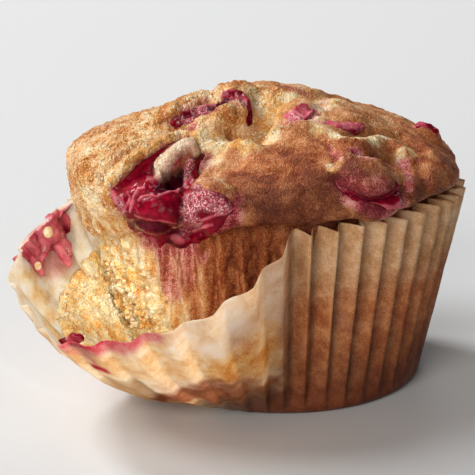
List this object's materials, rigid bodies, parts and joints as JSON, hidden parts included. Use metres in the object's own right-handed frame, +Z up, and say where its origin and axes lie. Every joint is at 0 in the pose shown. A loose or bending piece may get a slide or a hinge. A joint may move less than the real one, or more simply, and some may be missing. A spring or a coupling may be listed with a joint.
{
  "type": "berry muffin in paper case",
  "caption": "Baked muffin with sunken berries in a pleated paper case whose wall is peeled down on one side.",
  "frame": {"origin": "centre of the flat underside of the paper case", "axes": "+Z up out of the case; -Y towards the viewer of the picture; the peeled side of the case faces -X and -Y"},
  "size_m": [0.0818, 0.0809, 0.0539],
  "materials": {
    "case_paper": "greaseproof paper, see-through where it is thin",
    "baked_crust": "baked crust, golden brown, stands in for cake",
    "pale_crumb": "open cake crumb, pale yellow, stands in for cake",
    "red_berry": "wet cooked berry, dark red, stands in for fruit"
  },
  "bodies": {
    "root": {"paper_case": "case_paper", "muffin": "baked_crust", "stuck_crumb": "pale_crumb", "berry_front": "red_berry", "berry_front_skin": "red_berry", "berry_front_pulp": "red_berry", "berry_crest_left": "red_berry", "berry_crest_right": "red_berry", "berry_middle": "red_berry", "berry_streak": "red_berry", "berry_right": "red_berry", "berry_edge": "red_berry", "berry_flap_back": "red_berry", "berry_flap_front": "red_berry"}
  },
  "joints": []
}
